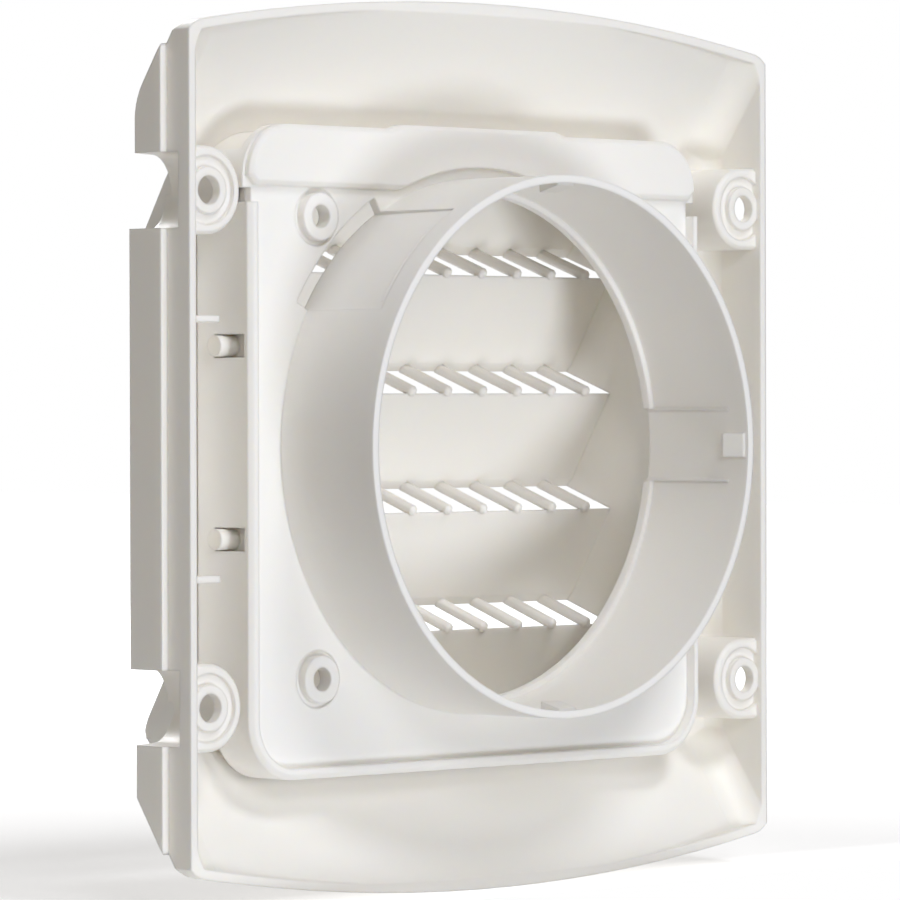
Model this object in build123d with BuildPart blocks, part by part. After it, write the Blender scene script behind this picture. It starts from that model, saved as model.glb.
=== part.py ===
from build123d import *
import os
from math import cos, hypot, radians, sin, sqrt

# Louvered wall intake cap for a 100 mm round duct, seen from the room side of the wall.
# Millimetres. Z is up, the louvers face -Y, the duct collar points to +Y.
# The origin is on the collar axis, in the plane of the wall.

# Hood shell
shell_wall = 1.6
rear_half_width = 75.7
side_step = 1.5
side_step_depth = 6.0
rim_corner_height = 75.6
rim_apex_height = 82.6
rim_corner_radius = 6.0
side_depth = 12.9
bow_depth = 30.2
slope_ratio = 1.42
slope_apex_height = 83.2
slope_corner_height = 80.6
brow_radius = 8.0
inner_corner_radius = 6.0
inner_slope_radius = 10.0
inner_foot_radius = 8.0
corner_relief = 0.2
belt_thickness = 1.4

# Screw pockets and ears
screw_inset = 5.5
screw_half_spacing_z = 46.1
screw_hole_diameter = 5.2
pocket_radius = 6.75
pocket_wall = 1.15
pocket_floor_depth = 3.0
ear_face_depth = 1.2
ear_ring_diameter = 8.4
ear_ring_depth = 0.9
ear_recess_diameter = 12.4
ear_recess_depth = 2.0
ear_edge = 0.6

# Gusset ribs inside the +X side wall
rib_half_spacing = 23.2
rib_thickness = 1.2
rib_length = 6.4
rib_face_depth = 1.0

# Louver tube
tube_half_width = 54.5
tube_half_height = 55.4
tube_wall = 2.2
tube_corner_radius = 8.5

# Louver slats and guard bars
slat_count = 5
slat_pitch = 22.65
slat_top_height = 55.3
slat_rear_depth = 22.3
slat_run = 10.4
slat_drop = 16.75
slat_thickness = 1.7
slat_lip = 1.55
slat_lip_lean = 1.6
slat_toe = 0.8
bar_count = 11
bar_spacing = 9.42
bar_diameter = 1.95
bar_nose = 1.0
bar_nose_edge = 0.5
bar_root = 0.3
bar_sink = 0.4

# Snap pegs on the tube and their windows in the skirt
peg_diameter = 3.8
peg_reach = 2.0
peg_depth = 9.8
peg_upper_height = 18.5
peg_lower_height = -16.4
peg_clearance = 0.2
window_rear_depth = 3.9

# Collar plate
plate_depth = 4.2
plate_thickness = 1.8
plate_half_width = 59.2
plate_bottom = 60.1
plate_top = 58.7
plate_lower_radius = 11.0
plate_upper_radius = 9.5
skirt_wall = 2.0
skirt_depth = 12.4
skirt_flap_depth = 16.5
skirt_flap_half_height = 40.0
skirt_top = 54.0
border_rise = 2.0
border_top = 44.4
border_notch = 2.6
border_notch_depth = 7.4
border_edge = 0.9
strip_bottom = 47.5
strip_rise = 1.7
strip_inset = 0.6
strip_middle_half_width = 20.0
strip_middle_rise = 0.8
strip_middle_slope = 3.0
strip_edge = 0.8
boss_half_spacing_x = 41.0
boss_half_spacing_z = 42.1
boss_diameter = 8.7
boss_hole_diameter = 4.3
boss_rise = 1.2
boss_groove_diameter = 10.6
boss_groove_depth = 0.5

# Duct collar
collar_radius = 50.1
collar_wall = 1.5
collar_reach = 20.0
duct_clearance = 2.0
lip_width = 1.2
inset_panel_angle = 45.0
inset_panel_span = 30.0
inset_panel_depth = 0.6
inset_panel_taper = 0.3
inset_panel_reach = 15.2
inset_slot_width = 2.9
latch_bead_radius = 0.7
latch_bead_rise = 0.4
latch_bead_reach = 14.2
latch_bead_margin = 2.0
plain_panel_span = 16.8
panel_rib_height = 0.35
panel_rib_angle = 0.6
panel_rib_reach = 15.4
tab_width = 4.6
tab_height = 1.6
tab_length = 4.6
tab_setback = 0.8

# Sizes that follow from those above
front_half_width = rear_half_width + side_step
inner_half_width = rear_half_width - shell_wall
screw_half_spacing_x = rear_half_width - screw_inset
slope_wall_shift = shell_wall * sqrt(1 + slope_ratio**2)
bow_radius = (front_half_width**2 + (bow_depth - side_depth) ** 2) / (2 * (bow_depth - side_depth))
bow_center = bow_radius - bow_depth
big = 4 * rim_apex_height
tube_outer_half_width = tube_half_width + tube_wall
tube_outer_half_height = tube_half_height + tube_wall
plate_front_depth = plate_depth + plate_thickness


def bow_at(half_width: float, inward: float) -> float:
    """Depth of the bowed front, moved inward by a wall, at a distance from the middle."""
    return sqrt((bow_radius - inward) ** 2 - half_width**2) - bow_center


def bowed_plan(base: float, half_width: float, rear_points: list, inward: float, corner: float) -> Sketch:
    """Plan of the hood at a height: bowed front with round corners, given points along the rear."""
    front = -bow_at(half_width, inward)
    with BuildSketch(Plane.XY.offset(base)) as plan:
        with BuildLine():
            Polyline((-half_width, front), *rear_points, (half_width, front))
            ThreePointArc((half_width, front), (0, inward - bow_depth), (-half_width, front))
        make_face()
        if corner > 0:
            fillet(plan.vertices().group_by(Axis.Y)[0], corner)
    return plan.sketch


def arched_outline(rear: float, inset: float) -> Sketch:
    """Arched outline of the hood at a distance behind the wall plane, moved inward by an inset."""
    half_width = front_half_width - inset
    corner = rim_corner_height - inset
    apex = rim_apex_height - inset
    with BuildSketch(Plane.XZ.offset(-rear)) as outline:
        with BuildLine():
            ThreePointArc((-half_width, corner), (0, apex), (half_width, corner))
            Line((half_width, corner), (half_width, -corner))
            ThreePointArc((half_width, -corner), (0, -apex), (-half_width, -corner))
            Line((-half_width, -corner), (-half_width, corner))
        make_face()
        fillet(outline.vertices(), rim_corner_radius - inset)
    return outline.sketch


def slope_limit(up: int, shift: float, wide: float, corner: float) -> Sketch:
    """What lies under the top slope, or over the bottom one, in the wall plane."""
    sag = slope_apex_height - slope_corner_height
    radius = (front_half_width**2 + sag**2) / (2 * sag)
    apex = slope_apex_height - shift
    end = up * (apex - radius + sqrt(radius**2 - wide**2))
    with BuildSketch(Plane.XZ) as limit:
        with BuildLine():
            ThreePointArc((-wide, end), (0, up * apex), (wide, end))
            Polyline((wide, end), (wide, -up * big), (-wide, -up * big), (-wide, end))
        make_face()
        if corner > 0:
            fillet(limit.vertices().sort_by(Axis.Y, reverse=up > 0)[:2], corner)
    return limit.sketch


def is_brow(edge: Edge) -> bool:
    """Whether an edge is the crease between the top slope and the bowed front."""
    middle = edge.center()
    return middle.Y < -side_depth and middle.Z > 0 and abs(middle.X) < 1


def is_foot(edge: Edge) -> bool:
    """Whether an edge is the crease between the bottom slope and the bowed front."""
    middle = edge.center()
    return middle.Y < -side_depth and middle.Z < 0 and abs(middle.X) < 1


# Outer form of the hood: bowed plan, arched outline, sloped top and bottom
stepped_rear = [
    (-front_half_width, -side_step_depth),
    (-rear_half_width, -side_step_depth),
    (-rear_half_width, 0),
    (rear_half_width, 0),
    (rear_half_width, -side_step_depth),
    (front_half_width, -side_step_depth),
]
with BuildPart() as hood_form:
    extrude(bowed_plan(-big / 2, front_half_width, stepped_rear, 0, 0), amount=big)
    extrude(arched_outline(0, 0), amount=big, mode=Mode.INTERSECT)
    for up in (1, -1):
        down_slope = Vector(0, -1, -up * slope_ratio).normalized()
        limit = slope_limit(up, 0, 1.5 * front_half_width, 0)
        extrude(limit, amount=big, dir=down_slope, mode=Mode.INTERSECT)
    fillet(hood_form.edges().filter_by(is_brow), brow_radius)

# Hollow of the hood: the same form moved inward by the shell wall, and open behind
open_rear = [(-inner_half_width, big), (inner_half_width, big)]
with BuildPart() as hood_hollow:
    extrude(bowed_plan(-big / 2, inner_half_width, open_rear, shell_wall, 0), amount=big)
    extrude(arched_outline(big, shell_wall), amount=2 * big, mode=Mode.INTERSECT)
    for up in (1, -1):
        down_slope = Vector(0, -1, -up * slope_ratio).normalized()
        limit = slope_limit(up, slope_wall_shift, 1.5 * front_half_width, 0)
        extrude(limit, amount=big, dir=down_slope, both=True, mode=Mode.INTERSECT)
    fillet(hood_hollow.edges().filter_by(is_brow), brow_radius - shell_wall)
    fillet(hood_hollow.edges().filter_by(is_foot), inner_foot_radius)

# Round corners of the hollow, where its slopes and its front meet the side walls
corner_half_width = inner_half_width + corner_relief
corner_rear = [(-corner_half_width, big), (corner_half_width, big)]
with BuildPart() as hollow_corners:
    extrude(
        bowed_plan(-big / 2, corner_half_width, corner_rear, shell_wall - corner_relief, inner_corner_radius),
        amount=big,
    )
    for up in (1, -1):
        down_slope = Vector(0, -1, -up * slope_ratio).normalized()
        limit = slope_limit(up, slope_wall_shift - 2 * corner_relief, corner_half_width, inner_slope_radius)
        extrude(limit, amount=big, dir=down_slope, both=True, mode=Mode.INTERSECT)

# Belt: the front between the screw pockets stands proud of the rest
belt_rear = [(-front_half_width, -side_step_depth), (front_half_width, -side_step_depth)]
with BuildPart() as belt:
    extrude(
        bowed_plan(-screw_half_spacing_z, front_half_width, belt_rear, -belt_thickness, 0),
        amount=2 * screw_half_spacing_z,
    )

# Places that repeat on both sides
screw_places = [
    (x * screw_half_spacing_x, z * screw_half_spacing_z) for x in (1, -1) for z in (1, -1)
]
boss_places = [(x * boss_half_spacing_x, z * boss_half_spacing_z) for x in (1, -1) for z in (1, -1)]
peg_places = [
    (x, -peg_depth, z) for x in (1, -1) for z in (peg_upper_height, peg_lower_height)
]


def pocket_profile(radius: float, outer_edge: float, depth: float) -> Sketch:
    """Four half-round shapes at the screw places, each open to its side wall."""
    with BuildSketch(Plane.XZ.offset(depth)) as profile:
        for x, z in screw_places:
            side = 1 if x > 0 else -1
            length = outer_edge - screw_half_spacing_x
            with Locations((x, z)):
                Circle(radius)
            with Locations((x + side * length / 2, z)):
                Rectangle(length, 2 * radius)
    return profile.sketch


# Pocket bodies with their ears, and the gusset ribs, trimmed to the form of the hood
with BuildPart() as inner_ribs:
    extrude(pocket_profile(pocket_radius + pocket_wall, rear_half_width, ear_face_depth), amount=bow_depth)
    ear_edges = inner_ribs.edges().group_by(Axis.Y)[-1].filter_by(GeomType.CIRCLE)
    chamfer(ear_edges, ear_edge)
    rib_middle = inner_half_width - rib_length / 2 + shell_wall / 4
    with BuildSketch(Plane.XZ.offset(rib_face_depth)):
        with Locations((rib_middle, rib_half_spacing), (rib_middle, -rib_half_spacing)):
            Rectangle(rib_length + shell_wall / 2, rib_thickness)
    extrude(amount=bow_depth)
    add(hood_form.part, mode=Mode.INTERSECT)

# Section through the louvers: slats that slope down to the front, each with a lip at its foot
slat_level_width = slat_thickness * hypot(slat_run, slat_drop) / slat_drop
slat_foot_depth = slat_rear_depth + slat_run
slat_top_inner = (-slat_rear_depth, 0)
slat_top_outer = (-slat_rear_depth - slat_level_width, 0)
slat_foot_inner = (-slat_foot_depth, -slat_drop)
slat_foot_outer = (-slat_foot_depth - slat_level_width, -slat_drop)
slat_lip_inner = (-slat_foot_depth - slat_lip_lean, -slat_drop - slat_lip)
slat_lip_outer = (-slat_foot_depth - slat_lip_lean - slat_toe, -slat_drop - slat_lip)
slat_heights = [slat_top_height - row * slat_pitch for row in range(slat_count)]
slat_section = [
    slat_top_inner, slat_foot_inner, slat_lip_inner, slat_lip_outer, slat_foot_outer, slat_top_outer
]
with BuildPart() as slats:
    with BuildSketch(Plane.YZ):
        with Locations(*[(0, height) for height in slat_heights]):
            Polygon(*slat_section, align=None)
    extrude(amount=tube_half_width + tube_wall / 2, both=True)

# Louver tube: a round-cornered ring trimmed to the stepped line of slats and gaps
stepped_line = []
for height in slat_heights:
    for point in (slat_top_inner, slat_top_outer, slat_foot_outer, slat_lip_outer, slat_lip_inner):
        stepped_line.append((point[0], point[1] + height))
above_top = (slat_top_outer[0] + slat_pitch * slat_run / slat_drop, slat_top_height + slat_pitch)
sill_front = (slat_lip_outer[0], -tube_outer_half_height - slat_pitch)
with BuildPart() as tube:
    with BuildSketch(Plane.XZ.offset(plate_front_depth)) as tube_ring:
        Rectangle(2 * tube_outer_half_width, 2 * tube_outer_half_height)
        fillet(tube_ring.vertices(), tube_corner_radius)
        offset(amount=-tube_wall, mode=Mode.SUBTRACT)
    extrude(amount=big)
    with BuildSketch(Plane.YZ) as tube_side:
        with BuildLine():
            Polyline(
                (0, above_top[1]),
                above_top,
                *stepped_line[1:-1],
                sill_front,
                (0, sill_front[1]),
                close=True,
            )
        make_face()
    extrude(amount=big, both=True, mode=Mode.INTERSECT)
    with BuildSketch(Plane.YZ):
        sill_middle = slat_lip_outer[0] + slat_level_width / 2
        sill_top = slat_heights[-1] + slat_lip_inner[1] + slat_lip
        with Locations((sill_middle, (sill_top - tube_outer_half_height) / 2)):
            Rectangle(slat_level_width, sill_top + tube_outer_half_height)
    extrude(amount=tube_outer_half_width - tube_corner_radius / 2, both=True)

# Guard bars: one eight-sided rod in each gap, with a blunt nose, repeated across the width
gap_run = slat_run + slat_lip_lean
gap_drop = slat_pitch - slat_drop - slat_lip
gap_length = hypot(gap_run, gap_drop)
rod_direction = Vector(0, gap_run, -gap_drop)
bar_lift = bar_diameter / 2 - bar_sink
rod_start_y = slat_lip_inner[0] + (bar_lift * gap_drop - bar_root * gap_run) / gap_length
rod_start_z = slat_lip_inner[1] + (bar_lift * gap_run + bar_root * gap_drop) / gap_length
with BuildPart() as bar_column:
    for height in slat_heights[:-1]:
        rod_plane = Plane((0, rod_start_y, rod_start_z + height), x_dir=(1, 0, 0), z_dir=rod_direction)
        with BuildSketch(rod_plane):
            RegularPolygon(bar_diameter / 2, 8, major_radius=False, rotation=22.5)
        rod = extrude(amount=bar_root + gap_length + bar_nose)
        chamfer(rod.faces().sort_by(Axis.Y)[-1].edges(), bar_nose_edge)

# Hood cover
with BuildPart() as hood_cover:
    add(hood_form.part)
    add(belt.part)
    add(hood_hollow.part & hollow_corners.part, mode=Mode.SUBTRACT)
    add(inner_ribs.part)
    with BuildSketch(Plane.XZ.offset(-big)) as tube_passage:
        Rectangle(2 * tube_outer_half_width, 2 * tube_outer_half_height)
        fillet(tube_passage.vertices(), tube_corner_radius)
    extrude(amount=2 * big, mode=Mode.SUBTRACT)
    extrude(pocket_profile(pocket_radius, big, pocket_floor_depth), amount=big, mode=Mode.SUBTRACT)
    with BuildSketch(Plane.XZ.offset(ear_recess_depth - ear_recess_diameter)) as ear_recess:
        with Locations(*screw_places):
            Circle(ear_recess_diameter / 2)
        Rectangle(2 * inner_half_width, big, mode=Mode.INTERSECT)
    extrude(amount=ear_recess_diameter, mode=Mode.SUBTRACT)
    with BuildSketch(Plane.XZ.offset(ear_ring_depth)):
        with Locations(*screw_places):
            Circle(ear_ring_diameter / 2)
    extrude(amount=pocket_floor_depth - ear_ring_depth)
    with BuildSketch(Plane.XZ):
        with Locations(*screw_places):
            Circle(screw_hole_diameter / 2)
    extrude(amount=pocket_floor_depth, mode=Mode.SUBTRACT)
    add(tube.part)
    add(slats.part)
    with Locations(*[((column - (bar_count - 1) / 2) * bar_spacing, 0, 0) for column in range(bar_count)]):
        add(bar_column.part)
    for x, y, z in peg_places:
        start = tube_outer_half_width - tube_wall / 2
        reach = plate_half_width + peg_reach - start
        with BuildSketch(Plane.YZ.offset(x * start)):
            with Locations((y, z)):
                Circle(peg_diameter / 2)
        extrude(amount=x * reach)
hood_cover.part.label = "hood_cover"

# Sizes of the collar plate that follow from those above
collar_bore = collar_radius - collar_wall
lip_radius = collar_bore - lip_width
skirt_inner_half_width = plate_half_width - skirt_wall
inset_face_radius = collar_radius - inset_panel_depth
inset_start = inset_panel_angle - inset_panel_span / 2
bead_span = inset_panel_span - 2 * latch_bead_margin
window_front_depth = peg_depth + peg_diameter / 2 + peg_clearance
window_height = peg_diameter + 2 * peg_clearance


def plate_outline(depth: float, inset: float) -> Sketch:
    """Outline of the plate with its round corners, moved inward by an inset."""
    with BuildSketch(Plane.XZ.offset(depth)) as outline:
        with Locations((0, (plate_top - plate_bottom) / 2)):
            Rectangle(2 * (plate_half_width - inset), plate_top + plate_bottom - 2 * inset)
        corners = outline.vertices().group_by(Axis.Y)
        fillet(corners[0], plate_lower_radius - inset)
        corners = outline.vertices().group_by(Axis.Y)
        fillet(corners[-1], plate_upper_radius - inset)
    return outline.sketch


def ring_sector(depth: float, inner: float, outer: float, start: float, span: float) -> Sketch:
    """Part of a ring round the collar axis, from an angle above +X."""
    with BuildSketch(Plane.XZ.offset(depth)) as sector:
        with BuildLine():
            outer_arc = CenterArc((0, 0), outer, start, span)
            inner_arc = CenterArc((0, 0), inner, start, span)
            Line(outer_arc @ 0, inner_arc @ 0)
            Line(outer_arc @ 1, inner_arc @ 1)
        make_face()
    return sector.sketch


def radial_plane(angle: float) -> Plane:
    """Plane through the collar axis at an angle above +X, with its first direction outward."""
    turn = radians(angle)
    return Plane((0, 0, 0), x_dir=(cos(turn), 0, sin(turn)), z_dir=(-sin(turn), 0, cos(turn)))


# Skirt: a wall along the sides and bottom of the plate, deeper along the middle of the sides
with BuildPart() as skirt:
    extrude(plate_outline(plate_depth - border_rise, 0), amount=skirt_flap_depth - plate_depth + border_rise)
    chamfer(skirt.edges().group_by(Axis.Y)[-1], border_edge)
    extrude(plate_outline(-big, skirt_wall), amount=2 * big, mode=Mode.SUBTRACT)
    with BuildSketch(Plane.XZ.offset(-big)):
        with Locations((0, skirt_top + big / 2)):
            Rectangle(big, big)
    extrude(amount=2 * big, mode=Mode.SUBTRACT)
    with BuildSketch(Plane.XZ.offset(-big)):
        with Locations((0, border_top + big / 2)):
            Rectangle(big, big)
    extrude(amount=big + plate_depth, mode=Mode.SUBTRACT)
    with BuildSketch(Plane.XZ.offset(skirt_depth)):
        Rectangle(big, big)
        Rectangle(big, 2 * skirt_flap_half_height, mode=Mode.SUBTRACT)
    extrude(amount=big, mode=Mode.SUBTRACT)

# Strip along the top of the plate, with a taller middle and blunt edges
middle_foot = strip_middle_half_width + strip_middle_slope
middle_top = plate_top + strip_middle_rise
middle_points = [
    (-middle_foot, strip_bottom + strip_rise),
    (middle_foot, strip_bottom + strip_rise),
    (middle_foot, plate_top),
    (strip_middle_half_width, middle_top),
    (-strip_middle_half_width, middle_top),
    (-middle_foot, plate_top),
]
with BuildPart() as strip:
    with BuildSketch(Plane.XZ.offset(plate_depth - strip_rise)) as strip_outline:
        with Locations((0, (plate_top + strip_bottom) / 2)):
            Rectangle(2 * (plate_half_width - strip_inset), plate_top - strip_bottom)
        fillet(strip_outline.vertices().group_by(Axis.Y)[-1], plate_upper_radius)
        chamfer(strip_outline.vertices().group_by(Axis.Y)[0], strip_rise)
        Polygon(*middle_points, align=None)
    extrude(amount=strip_rise)
    chamfer(strip.faces().sort_by(Axis.Y)[-1].edges(), strip_edge)
    with BuildSketch(Plane.XZ.offset(plate_depth)):
        Polygon(*middle_points, align=None)
    extrude(amount=plate_thickness)

# Tab inside the rim of the collar: a wedge that rises away from the rim
tab_rear = collar_reach - tab_setback
with BuildPart() as rim_tab:
    with BuildSketch(Plane.XY):
        with BuildLine():
            Polyline(
                (collar_bore + collar_wall / 2, tab_rear),
                (collar_bore - tab_height / 4, tab_rear),
                (collar_bore - tab_height, tab_rear - tab_length),
                (collar_bore + collar_wall / 2, tab_rear - tab_length),
                close=True,
            )
        make_face()
    extrude(amount=tab_width / 2, both=True)

# Collar plate
with BuildPart() as collar_plate:
    extrude(plate_outline(plate_depth, 0), amount=plate_thickness)
    add(skirt.part)
    add(strip.part)
    side_cut = big - skirt_inner_half_width
    side_cut_middle = (big + skirt_inner_half_width) / 2
    with BuildSketch(Plane.XZ):
        with Locations(*[(x * side_cut_middle, border_top + border_notch / 2) for x in (1, -1)]):
            Rectangle(side_cut, border_notch)
    extrude(amount=border_notch_depth, mode=Mode.SUBTRACT)
    with BuildSketch(Plane.XZ.offset(window_rear_depth)):
        with Locations(*[(x * side_cut_middle, z) for x, y, z in peg_places]):
            Rectangle(side_cut, window_height)
    extrude(amount=window_front_depth - window_rear_depth, mode=Mode.SUBTRACT)
    with BuildSketch(Plane.XZ.offset(plate_depth)):
        with Locations(*boss_places):
            Circle(boss_groove_diameter / 2)
    extrude(amount=boss_groove_depth, mode=Mode.SUBTRACT)
    with BuildSketch(Plane.XZ.offset(plate_depth - boss_rise)):
        with Locations(*boss_places):
            Circle(boss_diameter / 2)
    extrude(amount=boss_rise + plate_thickness)
    with BuildSketch(Plane.XZ):
        with Locations(*boss_places):
            Circle(boss_hole_diameter / 2)
    extrude(amount=plate_front_depth, mode=Mode.SUBTRACT)
    with BuildSketch(Plane.XZ):
        Circle(collar_radius + duct_clearance)
    extrude(amount=plate_depth, mode=Mode.SUBTRACT)
    with BuildSketch(Plane.XZ.offset(plate_front_depth)):
        Circle(collar_radius)
        Circle(collar_bore, mode=Mode.SUBTRACT)
    extrude(amount=-collar_reach - plate_front_depth)
    with BuildSketch(Plane.XZ):
        Circle(lip_radius)
    extrude(amount=plate_front_depth, mode=Mode.SUBTRACT)
    with BuildSketch(radial_plane(inset_start + inset_panel_span)):
        with BuildLine():
            Polyline(
                (inset_face_radius, -plate_front_depth),
                (collar_radius, -plate_front_depth),
                (collar_radius, inset_panel_reach),
                (inset_face_radius + inset_panel_taper, inset_panel_reach),
                close=True,
            )
        make_face()
    revolve(axis=Axis.Y, revolution_arc=inset_panel_span, mode=Mode.SUBTRACT)
    slot_radius = collar_radius + inset_slot_width
    extrude(
        ring_sector(plate_depth, collar_radius, slot_radius, inset_start, inset_panel_span),
        amount=plate_thickness,
        mode=Mode.SUBTRACT,
    )
    with BuildSketch(radial_plane(inset_panel_angle + bead_span / 2)):
        with Locations((inset_face_radius + latch_bead_rise - latch_bead_radius, latch_bead_reach)):
            Circle(latch_bead_radius)
    revolve(axis=Axis.Y, revolution_arc=bead_span)
    plain_start = 180 - plain_panel_span / 2
    extrude(
        ring_sector(plate_front_depth, lip_radius - lip_width, collar_bore, plain_start, plain_panel_span),
        amount=-plate_thickness,
        mode=Mode.SUBTRACT,
    )
    rib_inner = collar_bore - panel_rib_height
    rib_outer = collar_bore + collar_wall / 2
    for start in (plain_start, plain_start + plain_panel_span - panel_rib_angle):
        extrude(
            ring_sector(plate_front_depth, rib_inner, rib_outer, start, panel_rib_angle),
            amount=-panel_rib_reach - plate_front_depth,
        )
    for angle in (90, 180, 270):
        add(rim_tab.part.rotate(Axis.Y, angle))
collar_plate.part.label = "collar_plate"

os.makedirs("parts", exist_ok=True)
export_step(hood_cover.part, "parts/hood_cover.step")
export_step(collar_plate.part, "parts/collar_plate.step")
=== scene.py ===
"""Looks of the louvered intake cap: camera, studio and moulded-plastic finishes."""
import logging
import math
from dataclasses import dataclass
from enum import Enum

import bpy
from mathutils import Matrix, Vector


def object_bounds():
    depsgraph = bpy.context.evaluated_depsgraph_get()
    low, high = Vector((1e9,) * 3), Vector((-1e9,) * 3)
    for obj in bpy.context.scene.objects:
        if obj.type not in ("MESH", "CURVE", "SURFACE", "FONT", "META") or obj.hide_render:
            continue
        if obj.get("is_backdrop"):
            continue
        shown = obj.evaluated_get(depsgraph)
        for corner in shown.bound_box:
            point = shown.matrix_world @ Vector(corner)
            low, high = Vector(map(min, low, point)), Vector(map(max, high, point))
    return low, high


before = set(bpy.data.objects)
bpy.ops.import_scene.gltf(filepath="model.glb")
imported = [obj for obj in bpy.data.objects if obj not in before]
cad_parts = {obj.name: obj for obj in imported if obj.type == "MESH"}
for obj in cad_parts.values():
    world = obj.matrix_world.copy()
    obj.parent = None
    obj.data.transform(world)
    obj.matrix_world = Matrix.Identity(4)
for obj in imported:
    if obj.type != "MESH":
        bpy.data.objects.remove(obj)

LOG = logging.getLogger("intake_cap")
MM = 0.001
WHITE_HEX = "#FFFFFF"

# The sRGB curve: a straight foot up to the knee and a power above it
SRGB_TOP = 255
SRGB_KNEE = 0.04045
SRGB_FOOT = 12.92
SRGB_OFFSET = 0.055
SRGB_POWER = 2.4

# A mix node shares its socket names between data types, so its sockets are taken by place
MIX_FACTOR = 0
MIX_FLOAT_A = 2
MIX_FLOAT_B = 3
MIX_COLOR_A = 6
MIX_COLOR_B = 7
MIX_FLOAT_RESULT = 0
MIX_COLOR_RESULT = 2

Color = tuple[float, float, float, float]
Point = tuple[float, float, float]


class NodeName(Enum):
    """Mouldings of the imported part."""

    HOOD = "hood_cover"
    PLATE = "collar_plate"


def linear(hex_code: str) -> Color:
    """Turns an sRGB hex value into a linear colour.

    Args:
        hex_code: six hex digits, with or without a leading mark.

    Returns:
        The linear colour with an alpha of 1.
    """
    digits = hex_code.lstrip("#")
    channels = []
    for start in (0, 2, 4):
        value = int(digits[start:start + 2], 16) / SRGB_TOP
        foot = value / SRGB_FOOT
        curve = ((value + SRGB_OFFSET) / (1 + SRGB_OFFSET)) ** SRGB_POWER
        channels.append(foot if value <= SRGB_KNEE else curve)
    return (channels[0], channels[1], channels[2], 1.0)


def scale_for(size_mm: float) -> float:
    """Gives a texture's scale for features of a real size.

    Args:
        size_mm: how far across the features are, in millimetres.

    Returns:
        The scale for a texture in Object coordinates.
    """
    return 1.0 / (size_mm * MM)


def add_node(
    tree: bpy.types.NodeTree,
    kind: str,
    settings: dict[str, object] | None = None,
    values: dict[str | int, object] | None = None,
    links: dict[str | int, bpy.types.NodeSocket] | None = None,
) -> bpy.types.Node:
    """Adds one node with its settings, socket values and incoming links.

    Args:
        tree: the node tree that takes the node.
        kind: the node's type name.
        settings: attributes of the node itself.
        values: default values of its inputs, by name or index.
        links: sockets that feed its inputs, by name or index.

    Returns:
        The new node.
    """
    node = tree.nodes.new(kind)
    for name, value in (settings or {}).items():
        setattr(node, name, value)
    for name, value in (values or {}).items():
        node.inputs[name].default_value = value
    for name, socket in (links or {}).items():
        tree.links.new(socket, node.inputs[name])
    return node


def combine(
    tree: bpy.types.NodeTree,
    operation: str,
    first: bpy.types.NodeSocket,
    second: bpy.types.NodeSocket,
) -> bpy.types.NodeSocket:
    """Works out one number from two with a math node.

    Args:
        tree: the node tree that takes the node.
        operation: the name of the operation.
        first: socket with the first number.
        second: socket with the second number.

    Returns:
        The socket with the result.
    """
    node = add_node(
        tree,
        "ShaderNodeMath",
        settings={"operation": operation},
        links={0: first, 1: second},
    )
    return node.outputs["Value"]


@dataclass(frozen=True)
class NoisePattern:
    """A noise texture in real millimetres."""

    size_mm: float
    detail: float
    roughness: float

    def build(self, tree: bpy.types.NodeTree, place: bpy.types.NodeSocket) -> bpy.types.NodeSocket:
        """Adds the pattern.

        Args:
            tree: the node tree that takes the node.
            place: socket with the Object coordinates.

        Returns:
            The socket with the pattern's value.
        """
        node = add_node(
            tree,
            "ShaderNodeTexNoise",
            values={
                "Scale": scale_for(self.size_mm),
                "Detail": self.detail,
                "Roughness": self.roughness,
            },
            links={"Vector": place},
        )
        return node.outputs["Fac"]


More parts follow.
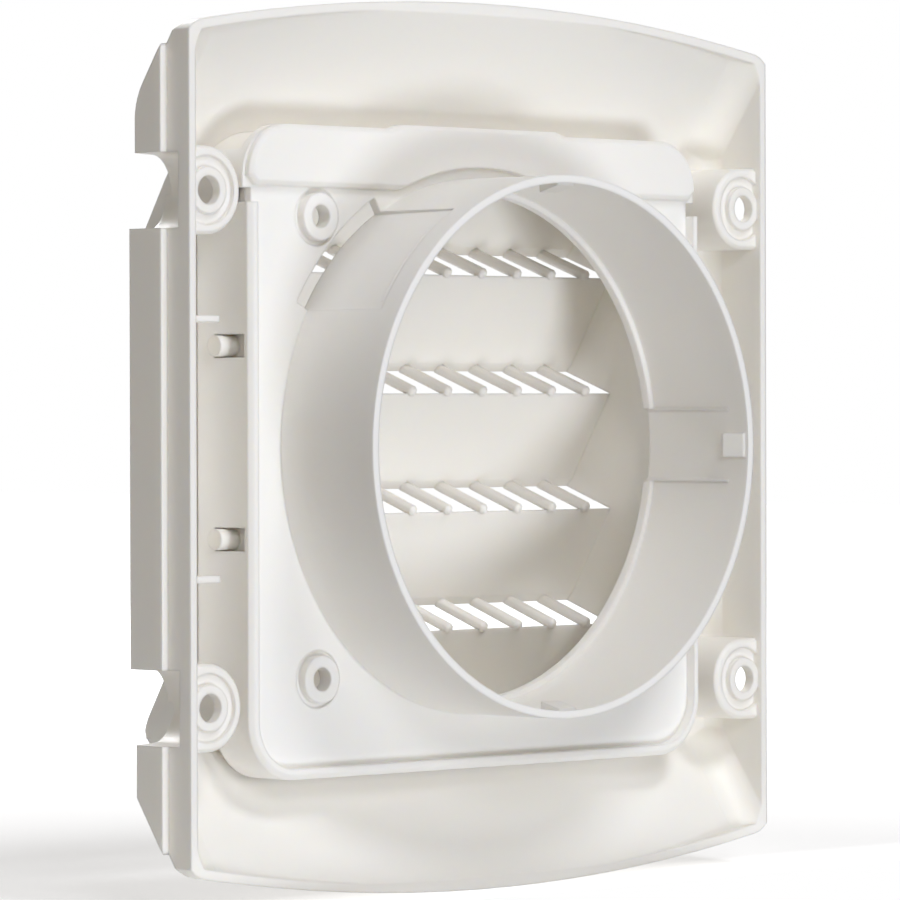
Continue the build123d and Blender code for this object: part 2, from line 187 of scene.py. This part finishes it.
@dataclass(frozen=True)
class MouldedPlastic:
    """Injection-moulded ABS: a warm white satin skin with a fine spark-eroded grain."""

    name: str
    base_hex: str
    shade_hex: str
    roughness: float
    ior: float = 1.53
    mottle: NoisePattern = NoisePattern(size_mm=38.0, detail=3.0, roughness=0.55)
    grain: NoisePattern = NoisePattern(size_mm=0.55, detail=2.0, roughness=0.6)
    grain_low: float = 0.3
    grain_high: float = 0.7
    grain_height_mm: float = 0.012
    gloss_drop: float = 0.05
    gloss_rise: float = 0.06
    ripple: NoisePattern = NoisePattern(size_mm=16.0, detail=1.0, roughness=0.5)
    ripple_height_mm: float = 0.05
    edge_radius_mm: float = 0.7
    edge_samples: int = 6
    glow_weight: float = 0.35
    glow_radius: Point = (1.0, 0.8, 0.55)
    glow_depth_mm: float = 3.0

    def relief(
        self,
        tree: bpy.types.NodeTree,
        place: bpy.types.NodeSocket,
        grain: bpy.types.NodeSocket,
    ) -> bpy.types.NodeSocket:
        """Adds the softened edges, the waves of thin walls and the grain of the mould.

        Args:
            tree: the node tree that takes the nodes.
            place: socket with the Object coordinates.
            grain: socket with the grain's pattern.

        Returns:
            The socket with the finished normal.
        """
        edge = add_node(
            tree,
            "ShaderNodeBevel",
            settings={"samples": self.edge_samples},
            values={"Radius": self.edge_radius_mm * MM},
        )
        # Cooling leaves long shallow waves in thin walls
        waves = add_node(
            tree,
            "ShaderNodeBump",
            values={"Strength": 1.0, "Distance": self.ripple_height_mm * MM},
            links={"Height": self.ripple.build(tree, place), "Normal": edge.outputs["Normal"]},
        )
        skin = add_node(
            tree,
            "ShaderNodeBump",
            values={"Strength": 1.0, "Distance": self.grain_height_mm * MM},
            links={"Height": grain, "Normal": waves.outputs["Normal"]},
        )
        return skin.outputs["Normal"]

    def material(self) -> bpy.types.Material:
        """Builds the finish.

        Returns:
            A material whose colour, gloss and bump come from its nodes.
        """
        material = bpy.data.materials.new(self.name)
        material.use_nodes = True
        tree = material.node_tree
        tree.nodes.clear()
        place = add_node(tree, "ShaderNodeTexCoord").outputs["Object"]
        # Slow mottling of the melt: barely seen, it keeps large faces from looking painted flat
        tint = add_node(
            tree,
            "ShaderNodeMix",
            settings={"data_type": "RGBA"},
            values={MIX_COLOR_A: linear(self.base_hex), MIX_COLOR_B: linear(self.shade_hex)},
            links={MIX_FACTOR: self.mottle.build(tree, place)},
        )
        # The mould's eroded grain is about 0.1 mm, drawn coarser here so that it shows
        grain = self.grain.build(tree, place)
        gloss = add_node(
            tree,
            "ShaderNodeMapRange",
            values={
                "From Min": self.grain_low,
                "From Max": self.grain_high,
                "To Min": self.roughness - self.gloss_drop,
                "To Max": self.roughness + self.gloss_rise,
            },
            links={"Value": grain},
        )
        shader = add_node(
            tree,
            "ShaderNodeBsdfPrincipled",
            values={
                "IOR": self.ior,
                "Metallic": 0.0,
                "Subsurface Weight": self.glow_weight,
                "Subsurface Radius": self.glow_radius,
                "Subsurface Scale": self.glow_depth_mm * MM,
            },
            links={
                "Base Color": tint.outputs[MIX_COLOR_RESULT],
                "Roughness": gloss.outputs["Result"],
                "Normal": self.relief(tree, place, grain),
            },
        )
        add_node(tree, "ShaderNodeOutputMaterial", links={"Surface": shader.outputs["BSDF"]})
        return material


HOOD_PLASTIC = MouldedPlastic(
    name="abs_moulded_hood",
    base_hex="#FBF7F1",
    shade_hex="#F9F5ED",
    roughness=0.42,
)
PLATE_PLASTIC = MouldedPlastic(
    name="abs_moulded_plate",
    base_hex="#FBF8F3",
    shade_hex="#F9F6F0",
    roughness=0.40,
)


@dataclass
class Moulding:
    """One moulded node of the frame, dressed in its plastic."""

    node: NodeName
    finish: MouldedPlastic

    def dress(self) -> bpy.types.Object:
        """Gives the node its finish.

        Returns:
            The dressed object.
        """
        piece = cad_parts[self.node.value]
        piece.data.materials.clear()
        piece.data.materials.append(self.finish.material())
        return piece


@dataclass
class StudioCamera:
    """Camera at the photograph's viewing angle, for a square picture."""

    position_mm: Point = (706.15, 710.26, 7.23)
    aim_mm: Point = (-145.38, -160.20, -2.33)
    roll_deg: float = -0.15
    lens_mm: float = 214.388
    sensor_mm: float = 36.0
    near_mm: float = 10.0
    far_mm: float = 50000.0

    def build(self) -> bpy.types.Object:
        """Makes the camera and sets it as the scene's own.

        Returns:
            The camera object.
        """
        bpy.ops.object.camera_add()
        camera = bpy.context.object
        camera.name = "photo_camera"
        position = Vector(self.position_mm) * MM
        aim = Vector(self.aim_mm) * MM
        facing = (aim - position).to_track_quat("-Z", "Y").to_matrix().to_4x4()
        roll = Matrix.Rotation(math.radians(self.roll_deg), 4, "Z")
        camera.matrix_world = Matrix.Translation(position) @ facing @ roll
        camera.data.sensor_fit = "HORIZONTAL"
        camera.data.sensor_width = self.sensor_mm
        camera.data.lens = self.lens_mm
        camera.data.clip_start = self.near_mm * MM
        camera.data.clip_end = self.far_mm * MM
        bpy.context.scene.camera = camera
        return camera


@dataclass(frozen=True)
class SoftLight:
    """A large round soft box aimed at the part."""

    name: str
    position_mm: Point
    size_mm: float
    watts: float
    tint_hex: str

    def build(self) -> bpy.types.Object:
        """Makes the lamp.

        Returns:
            The lamp object.
        """
        bpy.ops.object.light_add(type="AREA")
        lamp = bpy.context.object
        lamp.name = self.name
        position = Vector(self.position_mm) * MM
        facing = (-position).to_track_quat("-Z", "Y").to_matrix().to_4x4()
        lamp.matrix_world = Matrix.Translation(position) @ facing
        lamp.data.shape = "DISK"
        lamp.data.size = self.size_mm * MM
        lamp.data.energy = self.watts
        lamp.data.color = linear(self.tint_hex)[:3]
        return lamp


KEY_LIGHT = SoftLight(
    name="key_softbox",
    position_mm=(30.0, 1500.0, -700.0),
    size_mm=600.0,
    watts=11.8,
    tint_hex="#F4F8FF",
)
TOP_LIGHT = SoftLight(
    name="top_softbox",
    position_mm=(50.0, 900.0, 1100.0),
    size_mm=400.0,
    watts=6.3,
    tint_hex="#F8FAFF",
)
SIDE_LIGHT = SoftLight(
    name="side_softbox",
    position_mm=(600.0, 1100.0, 500.0),
    size_mm=400.0,
    watts=3.8,
    tint_hex="#F8FAFF",
)
# Stands on the louver side, which the other three leave dark
FRONT_LIGHT = SoftLight(
    name="front_softbox",
    position_mm=(-450.0, -1150.0, 650.0),
    size_mm=500.0,
    watts=6.5,
    tint_hex="#FBFCFF",
)


@dataclass
class Studio:
    """Pale table top, white surroundings and soft lights."""

    floor_half_mm: float = 3000.0
    floor_gap_mm: float = 0.2
    floor_front_mm: float = 12.0
    floor_hex: str = "#F4F4F3"
    floor_glow: float = 0.38
    far_glow: float = 0.92
    fade_from_mm: float = 160.0
    fade_to_mm: float = 520.0
    edge_fade_mm: float = 30.0
    world_strength: float = 0.165
    world_hex: str = "#FFF7EF"
    lights: tuple[SoftLight, ...] = (KEY_LIGHT, TOP_LIGHT, SIDE_LIGHT, FRONT_LIGHT)

    def white_rays(self, tree: bpy.types.NodeTree) -> bpy.types.NodeSocket:
        """Tells the rays that see a white background from those that carry light.

        Args:
            tree: the node tree that takes the nodes.

        Returns:
            The socket with 1 for camera, glossy and transmission rays, and 0 for the rest.
        """
        rays = add_node(tree, "ShaderNodeLightPath").outputs
        sharp = combine(tree, "MAXIMUM", rays["Is Glossy Ray"], rays["Is Transmission Ray"])
        return combine(tree, "MAXIMUM", rays["Is Camera Ray"], sharp)

    def world(self) -> None:
        """Sets white surroundings that light the part at a plain level."""
        world = bpy.data.worlds.new("white_surroundings")
        bpy.context.scene.world = world
        world.use_nodes = True
        tree = world.node_tree
        tree.nodes.clear()
        white = self.white_rays(tree)
        level = add_node(
            tree,
            "ShaderNodeMix",
            settings={"data_type": "FLOAT"},
            values={MIX_FLOAT_A: self.world_strength, MIX_FLOAT_B: 1.0},
            links={MIX_FACTOR: white},
        )
        tint = add_node(
            tree,
            "ShaderNodeMix",
            settings={"data_type": "RGBA"},
            values={MIX_COLOR_A: linear(self.world_hex), MIX_COLOR_B: linear(WHITE_HEX)},
            links={MIX_FACTOR: white},
        )
        glow = add_node(
            tree,
            "ShaderNodeBackground",
            links={
                "Color": tint.outputs[MIX_COLOR_RESULT],
                "Strength": level.outputs[MIX_FLOAT_RESULT],
            },
        )
        add_node(tree, "ShaderNodeOutputWorld", links={"Surface": glow.outputs["Background"]})

    def glow_between(
        self,
        tree: bpy.types.NodeTree,
        distance: bpy.types.NodeSocket,
        start_mm: float,
        end_mm: float,
    ) -> bpy.types.NodeSocket:
        """Raises the floor's glow from its level at the part to that of the background.

        Args:
            tree: the node tree that takes the node.
            distance: socket with a distance in metres.
            start_mm: where the glow starts to rise.
            end_mm: where it is as white as the background.

        Returns:
            The socket with the strength of the glow.
        """
        node = add_node(
            tree,
            "ShaderNodeMapRange",
            values={
                "From Min": start_mm * MM,
                "From Max": end_mm * MM,
                "To Min": self.floor_glow,
                "To Max": self.far_glow,
            },
            links={"Value": distance},
        )
        return node.outputs["Result"]

    def floor_material(self) -> bpy.types.Material:
        """Makes the pale paper of the floor.

        Returns:
            A matt material that keeps shadows and fades into the background.
        """
        material = bpy.data.materials.new("studio_paper")
        material.use_nodes = True
        tree = material.node_tree
        tree.nodes.clear()
        place = add_node(tree, "ShaderNodeTexCoord").outputs["Object"]
        # The paper keeps the shadow near the part and turns as white as the background further off
        reach = add_node(
            tree,
            "ShaderNodeVectorMath",
            settings={"operation": "LENGTH"},
            links={0: place},
        )
        far = self.glow_between(tree, reach.outputs["Value"], self.fade_from_mm, self.fade_to_mm)
        # It does the same along its front edge, which would otherwise draw a line
        axes = add_node(tree, "ShaderNodeSeparateXYZ", links={"Vector": place})
        edge_start_mm = self.floor_front_mm - self.edge_fade_mm
        edge = self.glow_between(tree, axes.outputs["Y"], edge_start_mm, self.floor_front_mm)
        strength = combine(tree, "MAXIMUM", far, edge)
        glow = add_node(
            tree,
            "ShaderNodeEmission",
            values={"Color": linear(WHITE_HEX)},
            links={"Strength": combine(tree, "MULTIPLY", strength, self.white_rays(tree))},
        )
        paper = add_node(
            tree,
            "ShaderNodeBsdfDiffuse",
            values={"Color": linear(self.floor_hex)},
        )
        both = add_node(
            tree,
            "ShaderNodeAddShader",
            links={0: glow.outputs["Emission"], 1: paper.outputs["BSDF"]},
        )
        add_node(tree, "ShaderNodeOutputMaterial", links={"Surface": both.outputs["Shader"]})
        return material

    def floor(self, lowest: float) -> bpy.types.Object:
        """Makes the floor just under the part.

        Args:
            lowest: height of the part's lowest point in metres.

        Returns:
            The floor object.
        """
        bpy.ops.mesh.primitive_plane_add(size=2 * self.floor_half_mm * MM)
        floor = bpy.context.object
        floor.name = "studio_floor"
        # The table's front edge is close to the part, so that the key light also reaches it from below
        back = (self.floor_front_mm - self.floor_half_mm) * MM
        floor.data.transform(Matrix.Translation((0, back, lowest - self.floor_gap_mm * MM)))
        floor.data.materials.append(self.floor_material())
        floor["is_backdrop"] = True
        return floor

    def build(self, lowest: float) -> None:
        """Builds the surroundings.

        Args:
            lowest: height of the part's lowest point in metres.
        """
        self.world()
        self.floor(lowest)
        for light in self.lights:
            light.build()


def main() -> None:
    """Builds the camera, the mouldings' finishes and the studio in order."""
    logging.basicConfig(level=logging.INFO)
    cad_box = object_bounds()
    bpy.ops.object.select_all(action="DESELECT")
    bpy.context.scene.view_settings.view_transform = "Standard"
    StudioCamera().build()
    for moulding in (
        Moulding(NodeName.HOOD, HOOD_PLASTIC),
        Moulding(NodeName.PLATE, PLATE_PLASTIC),
    ):
        piece = moulding.dress()
        LOG.info("dressed %s", piece.name)
    Studio().build(cad_box[0].z)


if __name__ == "__main__":
    main()
